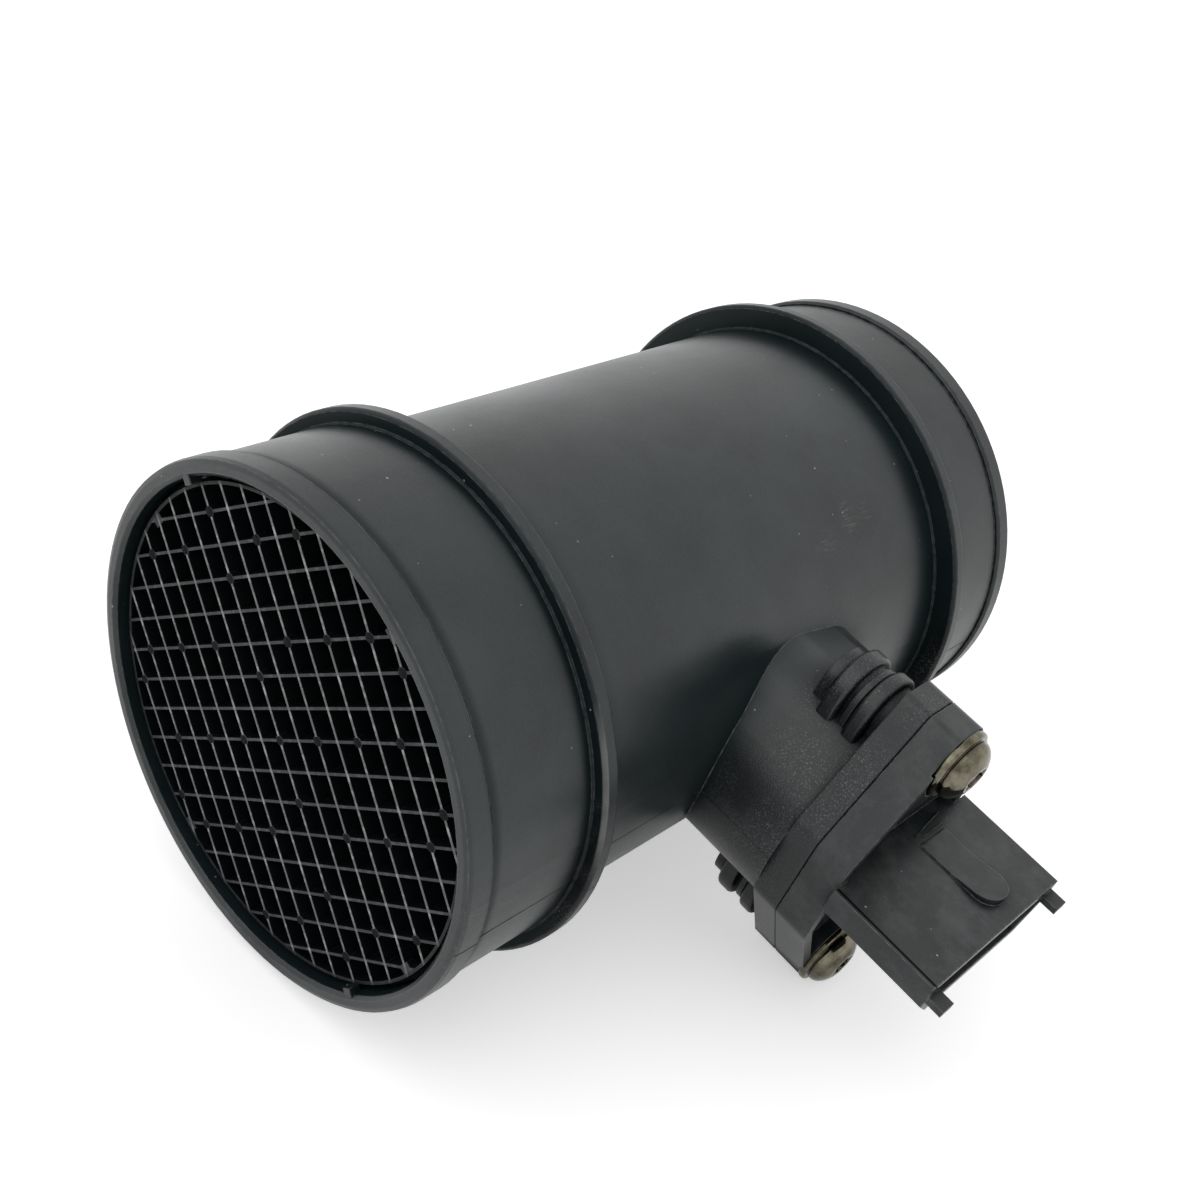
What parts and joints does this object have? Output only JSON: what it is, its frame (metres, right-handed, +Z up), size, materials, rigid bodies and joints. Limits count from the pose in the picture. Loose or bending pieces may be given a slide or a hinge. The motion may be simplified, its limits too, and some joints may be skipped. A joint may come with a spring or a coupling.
{
  "type": "mass airflow sensor",
  "caption": "Intake air duct with beaded hose ends, collar discs and a square-cell inlet grid; a bolted side sensor with a blade socket reaches into the duct to measure air mass flow.",
  "frame": {"origin": "point on the floor under the middle of the part's bounding box", "axes": "+Y along the duct from the inlet grid to the open outlet, +X towards the sensor side, +Z up; the part lies on both collar discs and on the lower screw's washer"},
  "size_m": [0.1174, 0.121, 0.0778],
  "materials": {
    "housing_plastic": "satin, fine moulded texture",
    "grid_plastic": "satin",
    "sensor_plastic": "satin",
    "seal_rubber": "smooth",
    "screw_metal": "dark nickel plate, glossy",
    "terminal_metal": "tin plated",
    "plate_aluminium": "mill",
    "board_ceramic": "smooth",
    "chip_body": "matte",
    "capacitor_ceramic": "smooth",
    "gel_silicone": "wet, smooth",
    "film_silicon": "polished",
    "bead_resin": "glossy",
    "lead_metal": "tinned wire"
  },
  "bodies": {
    "root": {"tube_housing": "housing_plastic", "inlet_grid": "grid_plastic", "sensor_body": "sensor_plastic", "neck_seal": "seal_rubber", "flange_screws": "screw_metal", "terminal_1": "terminal_metal", "terminal_2": "terminal_metal", "terminal_3": "terminal_metal", "terminal_4": "terminal_metal", "terminal_5": "terminal_metal", "base_plate": "plate_aluminium", "circuit_board": "board_ceramic", "signal_chip": "chip_body", "board_capacitors": "capacitor_ceramic", "electronics_cover": "sensor_plastic", "gel_fill": "gel_silicone", "channel_cover": "sensor_plastic", "film_carrier": "board_ceramic", "film_chip": "film_silicon", "air_thermistor": "bead_resin", "thermistor_leads": "lead_metal"}
  },
  "joints": []
}
